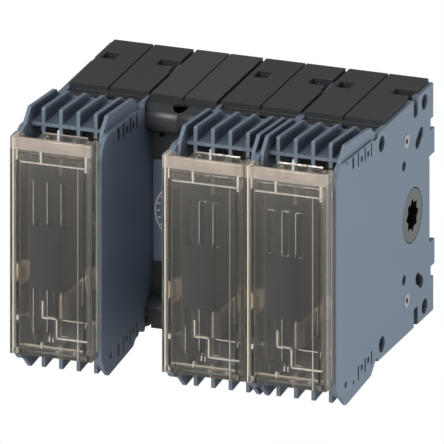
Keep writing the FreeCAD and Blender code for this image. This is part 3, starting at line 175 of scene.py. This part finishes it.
# Fine ribs inside a cover's front, drawn in the pale edge highlight so they show as painted
# bright lines: left, right, foot and top from the cover's centre
COVER_INSIDE = -0.1201
RIB_DEPTH = 0.0009
RIB_SINK = 0.0002
COVER_RIBS = (
    (-0.0137, 0.0158, 0.0408, 0.0412),
    (-0.0050, -0.0041, 0.0410, 0.0466),
    (0.0148, 0.0158, 0.0395, 0.0466),
    (-0.0155, -0.0148, 0.0418, 0.0466),
    (0.0116, 0.0117, -0.0270, 0.0407),
    (0.0116, 0.0119, -0.0440, -0.0270),
    (-0.0041, -0.0035, -0.0267, -0.0195),
    (-0.0041, 0.0027, -0.0270, -0.0264),
    (0.0021, 0.0027, -0.0354, -0.0264),
    (0.0021, 0.0158, -0.0354, -0.0348),
    (-0.0010, -0.0005, -0.0370, -0.0348),
    (0.0006, 0.0010, -0.0370, -0.0350),
    (-0.0046, -0.0040, -0.0402, -0.0377),
)

# Short posts further back, pale blocks that paint highlights on a rib and on the rear edge
# of the cover's side wall: left, right, front, back, foot and top
COVER_POST_HIGHLIGHTS = (
    (-0.0006, 0.0001, -0.1114, -0.1106, 0.0480, 0.0530),
    (0.0175, 0.0180, -0.1143, -0.1139, 0.0494, 0.0512),
    (0.0176, 0.0180, -0.1143, -0.1139, 0.0397, 0.0428),
)

# Slits in the pole wall beside the mechanism, painted as thin dark inlays for the shade
# inside them: depth, foot, top and width
WALL_FACE = -0.03235
INLAY_DEPTH = 0.0004
INLAY_PROUD = 0.00004
WALL_SLIT_SHADES = (
    (0.0702, 0.0428, 0.0490, 0.0013),
    (0.0743, 0.0440, 0.0468, 0.0022),
    (0.0780, 0.0432, 0.0498, 0.0014),
    (0.0821, 0.0445, 0.0473, 0.0020),
    (0.0862, 0.0438, 0.0502, 0.0014),
    (0.0924, 0.0451, 0.0502, 0.0022),
)

# Where the painted highlight on the seat of a lower jaw starts
JAW_SEAT = -0.0737

# The side hubs lie beyond HUB_INNER, and their sockets start behind HUB_FACE; inside, the
# sockets are painted dark as shade
HUB_FACE = 0.0709
HUB_INNER = 0.05

# The ring and the ticks round the front drive
DRIVE_X = -0.01825
RING_RADIUS = 0.0131
RING_WIDTH = 0.00022
TICK_RADIUS = 0.0117
TICK_LENGTH = 0.0007
TICK_COUNT = 24
TICK_SHARE = 0.09


def linear(colour):
    """An 8-bit screen colour as linear light."""
    out = []
    for part in colour:
        c = part / 255.0
        out.append(c / 12.92 if c <= 0.04045 else ((c + 0.055) / 1.055) ** 2.4)
    return (*out, 1.0)


def scaled(colour, factor):
    """A screen colour made lighter or darker."""
    return tuple(min(255.0, part * factor) for part in colour)


def new_node(tree, kind, **values):
    """A node with the given input values; a key is the socket's name."""
    node = tree.nodes.new(kind)
    for key, value in values.items():
        node.inputs[key.replace("_", " ")].default_value = value
    return node


def surface_noise_group():
    """A shared group: fine grain and broad unevenness of a moulded or plated surface."""
    group = bpy.data.node_groups.new("surface_noise", "ShaderNodeTree")
    for name in ("Grain scale", "Broad scale"):
        group.interface.new_socket(name, in_out="INPUT", socket_type="NodeSocketFloat")
    group.interface.new_socket("Grain", in_out="OUTPUT", socket_type="NodeSocketFloat")
    group.interface.new_socket("Broad", in_out="OUTPUT", socket_type="NodeSocketFloat")
    inputs = group.nodes.new("NodeGroupInput")
    outputs = group.nodes.new("NodeGroupOutput")
    place = group.nodes.new("ShaderNodeTexCoord")
    grain = new_node(group, "ShaderNodeTexNoise", Detail=3.0, Roughness=0.6)
    broad = new_node(group, "ShaderNodeTexNoise", Detail=2.0, Roughness=0.5)
    links = group.links
    links.new(place.outputs["Object"], grain.inputs["Vector"])
    links.new(place.outputs["Object"], broad.inputs["Vector"])
    links.new(inputs.outputs["Grain scale"], grain.inputs["Scale"])
    links.new(inputs.outputs["Broad scale"], broad.inputs["Scale"])
    links.new(grain.outputs["Fac"], outputs.inputs["Grain"])
    links.new(broad.outputs["Fac"], outputs.inputs["Broad"])
    return group


NOISE = surface_noise_group()


def math_node(tree, operation, first, second=0.0):
    """A math node; each operand is a socket or a number."""
    node = tree.nodes.new("ShaderNodeMath")
    node.operation = operation
    for slot, value in enumerate((first, second)):
        if isinstance(value, (int, float)):
            node.inputs[slot].default_value = value
        else:
            tree.links.new(value, node.inputs[slot])
    return node.outputs[0]


def mixed(tree, factor, first, second):
    """A colour between two colours or sockets."""
    node = tree.nodes.new("ShaderNodeMix")
    node.data_type = "RGBA"
    for name, value in (("Factor", factor), ("A", first), ("B", second)):
        socket = [s for s in node.inputs if s.name == name and s.enabled][0]
        if isinstance(value, tuple):
            socket.default_value = value
        else:
            tree.links.new(value, socket)
    return [s for s in node.outputs if s.enabled][0]


def crevice_shading_group():
    """A shared group: a colour with painted shade, darkened where other surfaces are close
    by.
    """
    group = bpy.data.node_groups.new("crevice_shading", "ShaderNodeTree")
    group.interface.new_socket("Color", in_out="INPUT", socket_type="NodeSocketColor")
    group.interface.new_socket("Color", in_out="OUTPUT", socket_type="NodeSocketColor")
    inputs = group.nodes.new("NodeGroupInput")
    outputs = group.nodes.new("NodeGroupOutput")
    near = group.nodes.new("ShaderNodeAmbientOcclusion")
    near.samples = CREVICE_SAMPLES
    near.inputs["Distance"].default_value = CREVICE_REACH
    shade = group.nodes.new("ShaderNodeMix")
    shade.data_type = "RGBA"
    shade.blend_type = "MULTIPLY"
    shade.inputs["Factor"].default_value = 1.0
    reach = new_node(group, "ShaderNodeMapRange")
    reach.inputs["To Min"].default_value = CREVICE_SHADE
    links = group.links
    links.new(near.outputs["AO"], reach.inputs["Value"])
    links.new(inputs.outputs["Color"], shade.inputs["A"])
    links.new(reach.outputs["Result"], shade.inputs["B"])
    links.new(shade.outputs["Result"], outputs.inputs["Color"])
    return group


CREVICE_SHADING_GROUP = crevice_shading_group()


def noisy_material(name):
    """A finish whose colour and roughness vary broadly, whose grain is bumped and whose
    crevices get painted shade.
    """
    colour, spread, rough, rough_spread, grain, bump, metallic = FINISHES[name]
    material = bpy.data.materials.new(name)
    material.use_nodes = True
    tree = material.node_tree
    shader = tree.nodes["Principled BSDF"]
    shader.inputs["Metallic"].default_value = metallic
    noise = tree.nodes.new("ShaderNodeGroup")
    noise.node_tree = NOISE
    noise.inputs["Grain scale"].default_value = grain
    noise.inputs["Broad scale"].default_value = BROAD_SCALE
    light = linear(scaled(colour, 1.0 + spread))
    dark = linear(scaled(colour, 1.0 - spread))
    tint = mixed(tree, noise.outputs["Broad"], dark, light)
    crevice_shading = tree.nodes.new("ShaderNodeGroup")
    crevice_shading.node_tree = CREVICE_SHADING_GROUP
    spread_rough = new_node(tree, "ShaderNodeMapRange")
    spread_rough.inputs["To Min"].default_value = rough - rough_spread
    spread_rough.inputs["To Max"].default_value = rough + rough_spread
    bumped = new_node(tree, "ShaderNodeBump", Strength=bump, Distance=GRAIN_HEIGHT)
    links = tree.links
    # Painted shade darkens the colour in crevices
    links.new(tint, crevice_shading.inputs["Color"])
    links.new(crevice_shading.outputs["Color"], shader.inputs["Base Color"])
    links.new(noise.outputs["Broad"], spread_rough.inputs["Value"])
    links.new(spread_rough.outputs["Result"], shader.inputs["Roughness"])
    links.new(noise.outputs["Grain"], bumped.inputs["Height"])
    links.new(bumped.outputs["Normal"], shader.inputs["Normal"])
    return material


def place_in(tree):
    """The X, Y and Z of a point in the shared frame."""
    place = tree.nodes.new("ShaderNodeTexCoord")
    parts = tree.nodes.new("ShaderNodeSeparateXYZ")
    tree.links.new(place.outputs["Object"], parts.inputs[0])
    return [parts.outputs[name] for name in ("X", "Y", "Z")]


def paint_over(material, mask, colour):
    """Covers the base colour with another one where the mask is 1."""
    tree = material.node_tree
    base = tree.nodes["Principled BSDF"].inputs["Base Color"]
    under = base.links[0].from_socket
    tree.links.new(mixed(tree, mask, under, linear(colour)), base)


def hub_material():
    """Grey moulding of the hubs, with painted shade inside the star sockets."""
    material = noisy_material("hub_grey")
    tree = material.node_tree
    along = math_node(tree, "ABSOLUTE", place_in(tree)[0])
    inside = math_node(tree, "LESS_THAN", along, HUB_FACE)
    side_hub = math_node(tree, "GREATER_THAN", along, HUB_INNER)
    # Painted shade inside the side hubs' sockets
    paint_over(material, math_node(tree, "MULTIPLY", inside, side_hub), SOCKET_SHADE)
    return material


def lower_jaw_material():
    """Spring leaves painted as a shaded, flat grey copy of the silvered metal, with a
    painted highlight where the fuse blade sits.
    """
    material = noisy_material("lower_jaw")
    tree = material.node_tree
    behind = math_node(tree, "GREATER_THAN", place_in(tree)[1], JAW_SEAT)
    # Painted highlight on the jaw's seat
    paint_over(material, behind, JAW_SEAT_HIGHLIGHT)
    return material


def front_plate_material():
    """The housing's colour with a plain pale ring and ticks round the front drive."""
    material = noisy_material("front_plate")
    tree = material.node_tree
    x, _, z = place_in(tree)
    across = math_node(tree, "SUBTRACT", x, DRIVE_X)
    squares = [math_node(tree, "MULTIPLY", part, part) for part in (across, z)]
    radius = math_node(tree, "SQRT", math_node(tree, "ADD", *squares))
    off_ring = math_node(tree, "ABSOLUTE", math_node(tree, "SUBTRACT", radius, RING_RADIUS))
    ring = math_node(tree, "LESS_THAN", off_ring, RING_WIDTH)
    off_ticks = math_node(tree, "ABSOLUTE", math_node(tree, "SUBTRACT", radius, TICK_RADIUS))
    in_ticks = math_node(tree, "LESS_THAN", off_ticks, TICK_LENGTH)
    angle = math_node(tree, "ARCTAN2", z, across)
    turns = math_node(tree, "MULTIPLY", angle, TICK_COUNT / (2 * math.pi))
    nearest = math_node(tree, "ROUND", turns)
    between = math_node(tree, "ABSOLUTE", math_node(tree, "SUBTRACT", turns, nearest))
    on_tick = math_node(tree, "LESS_THAN", between, TICK_SHARE)
    ticks = math_node(tree, "MULTIPLY", in_ticks, on_tick)
    paint_over(material, math_node(tree, "MAXIMUM", ring, ticks), MARKING)
    return material


def on_side(tree, x, offset):
    """1 near the side face that lies at an offset from a cover's centre."""
    near = 0.0
    for centre in COVER_CENTRES:
        away = math_node(tree, "ABSOLUTE", math_node(tree, "SUBTRACT", x, centre + offset))
        close = math_node(tree, "LESS_THAN", away, SIDE_REACH)
        near = math_node(tree, "MAXIMUM", close, near)
    return near


def cover_haze_and_light(tree, z, inner_side, outer_side, in_band):
    """How much light the clear plastic scatters, painted by place as light: more in its
    sides and its top band, and more near its top and foot.
    """
    height = tree.nodes.new("ShaderNodeMapRange")
    height.inputs["From Min"].default_value = -HAZE_REACH
    height.inputs["From Max"].default_value = HAZE_REACH
    tree.links.new(z, height.inputs["Value"])
    ramp = tree.nodes.new("ShaderNodeValToRGB")
    ramp.color_ramp.interpolation = "B_SPLINE"
    tree.links.new(height.outputs["Result"], ramp.inputs["Fac"])
    stops = ramp.color_ramp.elements
    while len(stops) < len(HAZE_LIGHT_STOPS):
        stops.new(0.5)
    for stop, (at, value) in zip(stops, HAZE_LIGHT_STOPS):
        stop.position = at
        stop.color = (value, value, value, 1.0)
    haze = ramp.outputs["Color"]
    amounts = (
        (inner_side, INNER_SIDE_LIGHT_HAZE),
        (outer_side, OUTER_SIDE_LIGHT_HAZE),
        (in_band, BAND_LIGHT_HAZE),
    )
    for where, amount in amounts:
        haze = math_node(tree, "MAXIMUM", haze, math_node(tree, "MULTIPLY", where, amount))
    return haze


def cover_material():
    """Clear smoky plastic that lets light in, with painted light: a pale lit band at the
    top, a pale strip on each inner side wall and more haze near the top and foot.
    """
    material = bpy.data.materials.new("cover_clear")
    material.use_nodes = True
    tree = material.node_tree
    shader = tree.nodes["Principled BSDF"]
    shader.inputs["Roughness"].default_value = COVER_ROUGHNESS
    shader.inputs["IOR"].default_value = COVER_INDEX
    x, y, z = place_in(tree)
    high = math_node(tree, "GREATER_THAN", z, BAND_FOOT)
    in_front = math_node(tree, "LESS_THAN", y, BAND_BACK)
    in_band = math_node(tree, "MULTIPLY", high, in_front)
    inner_side = on_side(tree, x, INNER_SIDE)
    outer_side = on_side(tree, x, OUTER_SIDE)
    # Painted light: the lit band and the pale inner side strips
    colour = mixed(tree, in_band, linear(SMOKE), linear(COVER_BAND_LIGHT))
    colour = mixed(tree, inner_side, colour, linear(COVER_STRIP_HIGHLIGHT))
    tree.links.new(colour, shader.inputs["Base Color"])
    # More haze where light is painted in: near the top and foot, in the band and in the
    # sides
    haze = cover_haze_and_light(tree, z, inner_side, outer_side, in_band)
    clear = math_node(tree, "SUBTRACT", 1.0, haze)
    tree.links.new(clear, shader.inputs["Transmission Weight"])
    path = tree.nodes.new("ShaderNodeLightPath")
    through = new_node(tree, "ShaderNodeBsdfTransparent", Color=linear(SMOKE_SHADOW))
    mix = tree.nodes.new("ShaderNodeMixShader")
    tree.links.new(path.outputs["Is Shadow Ray"], mix.inputs["Fac"])
    tree.links.new(shader.outputs[0], mix.inputs[1])
    tree.links.new(through.outputs[0], mix.inputs[2])
    tree.links.new(mix.outputs[0], tree.nodes["Material Output"].inputs["Surface"])
    return material


def cover_edge_highlight_material():
    """The pale light on the cover's rounded edges, painted in as a highlight."""
    material = bpy.data.materials.new("cover_edge")
    material.use_nodes = True
    shader = material.node_tree.nodes["Principled BSDF"]
    shader.inputs["Base Color"].default_value = linear(COVER_EDGE_HIGHLIGHT)
    shader.inputs["Roughness"].default_value = COVER_EDGE_ROUGHNESS
    shader.inputs["Transmission Weight"].default_value = COVER_EDGE_CLEAR
    return material


# Finishes that need nothing painted over them
PLAIN_FINISHES = (
    "housing_blue_grey",
    "moulding_black",
    "shell_black",
    "rotor_black",
    "gear_natural",
    "contact_silvered_copper",
    "zinc_steel",
    "rivet_aluminium",
)
MATERIALS = {name: noisy_material(name) for name in PLAIN_FINISHES}
MATERIALS["hub_grey"] = hub_material()
MATERIALS["lower_jaw"] = lower_jaw_material()
MATERIALS["front_plate"] = front_plate_material()
MATERIALS["cover_clear"] = cover_material()
# Lighter materials painted on rounded edges as highlights
EDGE_HIGHLIGHTS = {
    "housing_blue_grey": noisy_material("housing_edge_highlight"),
    "moulding_black": noisy_material("black_edge_highlight"),
    "cover_clear": cover_edge_highlight_material(),
}

# Nodes whose finish differs from that of their slot
SPECIAL = {
    "mechanism_front_plate": "front_plate",
    "mechanism_left_shell": "shell_black",
    "mechanism_right_shell": "shell_black",
    "pole_1_lower_jaw": "lower_jaw",
    "pole_2_lower_jaw": "lower_jaw",
    "pole_3_lower_jaw": "lower_jaw",
}


def soften_edges(node, width, highlight_material):
    """Joins the mesh's split corners, rounds its sharp edges a little and paints the rounded
    edges with a lighter material as a highlight.
    """
    weld = node.modifiers.new("weld", "WELD")
    weld.merge_threshold = CORNER_REACH
    bevel = node.modifiers.new("edges", "BEVEL")
    bevel.width = width
    bevel.segments = EDGE_SEGMENTS
    bevel.limit_method = "ANGLE"
    bevel.angle_limit = EDGE_ANGLE
    bevel.harden_normals = True
    bevel.material = 1
    node.data.materials.append(highlight_material)


def dress_nodes():
    """Gives every node its material; the housing, the black mouldings and the covers also
    get rounded edges with a painted highlight.
    """
    for entry in frame["record"]["subparts"]:
        slot = entry["material_slot"]
        node = frame["nodes"][entry["node"]]
        node.data.materials.clear()
        node.data.materials.append(MATERIALS[SPECIAL.get(entry["node"], slot)])
        if slot in EDGE_HIGHLIGHTS:
            width = COVER_EDGE_WIDTH if slot == "cover_clear" else EDGE_WIDTH
            soften_edges(node, width, EDGE_HIGHLIGHTS[slot])


# The corners of a block's faces; the corners are counted along Z first, then Y, then X
BLOCK_FACES = (
    (0, 1, 3, 2),
    (4, 6, 7, 5),
    (0, 4, 5, 1),
    (2, 3, 7, 6),
    (0, 2, 6, 4),
    (1, 5, 7, 3),
)


def blocks(name, corners):
    """One mesh of several upright blocks, each given by its lowest and highest corner."""
    points = []
    faces = []
    for low, high in corners:
        first = len(points)
        points += itertools.product(*zip(low, high))
        faces += [[first + k for k in face] for face in BLOCK_FACES]
    mesh = bpy.data.meshes.new(name)
    mesh.from_pydata(points, [], faces)
    made = bpy.data.objects.new(name, mesh)
    bpy.context.scene.collection.objects.link(made)
    return made


def cover_rib_highlights():
    """The fine ribs, marks and posts inside each cover, drawn in the pale edge highlight as
    painted bright lines.
    """
    front = COVER_INSIDE - RIB_SINK
    back = COVER_INSIDE + RIB_DEPTH
    ribs = [(left, right, front, back, low, high) for left, right, low, high in COVER_RIBS]
    for k, centre in enumerate(COVER_CENTRES):
        corners = [
            ((centre + x0, y0, z0), (centre + x1, y1, z1))
            for x0, x1, y0, y1, z0, z1 in (*ribs, *COVER_POST_HIGHLIGHTS)
        ]
        made = blocks("cover_%d_ribs" % (k + 1), corners)
        # The pale edge-highlight material makes the ribs and posts painted bright lines
        made.data.materials.append(EDGE_HIGHLIGHTS["cover_clear"])
        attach(made, "cover_%d" % (k + 1))


def wall_slit_shades():
    """Thin dark inlays, painted as the shade inside slits at the head and the foot of the
    pole wall beside the mechanism.
    """
    corners = []
    for depth, low, high, width in WALL_SLIT_SHADES:
        rear = -depth + width / 2
        front = -depth - width / 2
        for z0, z1 in ((low, high), (-high, -low)):
            inner = (WALL_FACE - INLAY_DEPTH, front, z0)
            outer = (WALL_FACE + INLAY_PROUD, rear, z1)
            corners.append((inner, outer))
    made = blocks("wall_slit_shades", corners)
    # The rotor's black, used here as painted shade in the slits
    made.data.materials.append(MATERIALS["rotor_black"])
    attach(made, "frame")


def area_light(name, place, size, power):
    """A square soft light that points at the middle of the object."""
    data = bpy.data.lights.new(name, "AREA")
    data.shape = "SQUARE"
    data.size = size
    data.energy = power
    lamp = bpy.data.objects.new(name, data)
    bpy.context.scene.collection.objects.link(lamp)
    lamp.location = Vector(place)
    lamp.rotation_euler = (VIEW_CENTRE - lamp.location).to_track_quat("-Z", "Y").to_euler()


def background_factor(tree):
    """1 for rays that should see the plain white background."""
    path = tree.nodes.new("ShaderNodeLightPath")
    return math_node(
        tree, "MAXIMUM", path.outputs["Is Camera Ray"], path.outputs["Is Transmission Ray"]
    )


def world():
    """A soft grey surround that shows white to the camera."""
    made = bpy.data.worlds.new("studio")
    bpy.context.scene.world = made
    made.use_nodes = True
    tree = made.node_tree
    tree.nodes.clear()
    soft = new_node(tree, "ShaderNodeBackground", Color=WHITE, Strength=SURROUND)
    white = new_node(tree, "ShaderNodeBackground", Color=WHITE, Strength=1.0)
    mix = tree.nodes.new("ShaderNodeMixShader")
    out = tree.nodes.new("ShaderNodeOutputWorld")
    tree.links.new(background_factor(tree), mix.inputs["Fac"])
    tree.links.new(soft.outputs[0], mix.inputs[1])
    tree.links.new(white.outputs[0], mix.inputs[2])
    tree.links.new(mix.outputs[0], out.inputs["Surface"])


def floor(height):
    """A plain floor that shows white and throws light back up."""
    half = FLOOR_HALF
    corners = [
        (-half, -half, height),
        (half, -half, height),
        (half, half, height),
        (-half, half, height),
    ]
    mesh = bpy.data.meshes.new("floor")
    mesh.from_pydata(corners, [], [(0, 1, 2, 3)])
    plane = bpy.data.objects.new("floor", mesh)
    bpy.context.scene.collection.objects.link(plane)
    material = bpy.data.materials.new("floor_white")
    material.use_nodes = True
    tree = material.node_tree
    tree.nodes.clear()
    paint = new_node(tree, "ShaderNodeBsdfDiffuse", Color=FLOOR_PAINT)
    glow = new_node(tree, "ShaderNodeEmission", Color=WHITE, Strength=1.0)
    mix = tree.nodes.new("ShaderNodeMixShader")
    out = tree.nodes.new("ShaderNodeOutputMaterial")
    tree.links.new(background_factor(tree), mix.inputs["Fac"])
    tree.links.new(paint.outputs[0], mix.inputs[1])
    tree.links.new(glow.outputs[0], mix.inputs[2])
    tree.links.new(mix.outputs[0], out.inputs["Surface"])
    mesh.materials.append(material)


def camera():
    """A parallel view from the front right and above, as in the photograph."""
    data = bpy.data.cameras.new("photo_view")
    data.type = "ORTHO"
    data.ortho_scale = VIEW_WIDTH
    data.clip_start = VIEW_NEAREST
    data.clip_end = VIEW_FARTHEST
    eye = bpy.data.objects.new("photo_view", data)
    bpy.context.scene.collection.objects.link(eye)
    direction = Vector(
        (
            math.sin(AZIMUTH) * math.cos(ELEVATION),
            -math.cos(AZIMUTH) * math.cos(ELEVATION),
            math.sin(ELEVATION),
        )
    )
    eye.location = VIEW_CENTRE + direction * VIEW_DISTANCE
    eye.rotation_euler = (-direction).to_track_quat("-Z", "Y").to_euler()
    bpy.context.scene.camera = eye


dress_nodes()
cover_rib_highlights()
wall_slit_shades()
world()
floor(cad_low[2] - FLOOR_DROP)
for lamp_values in LAMPS:
    area_light(*lamp_values)
camera()
bpy.context.scene.view_settings.view_transform = "Standard"
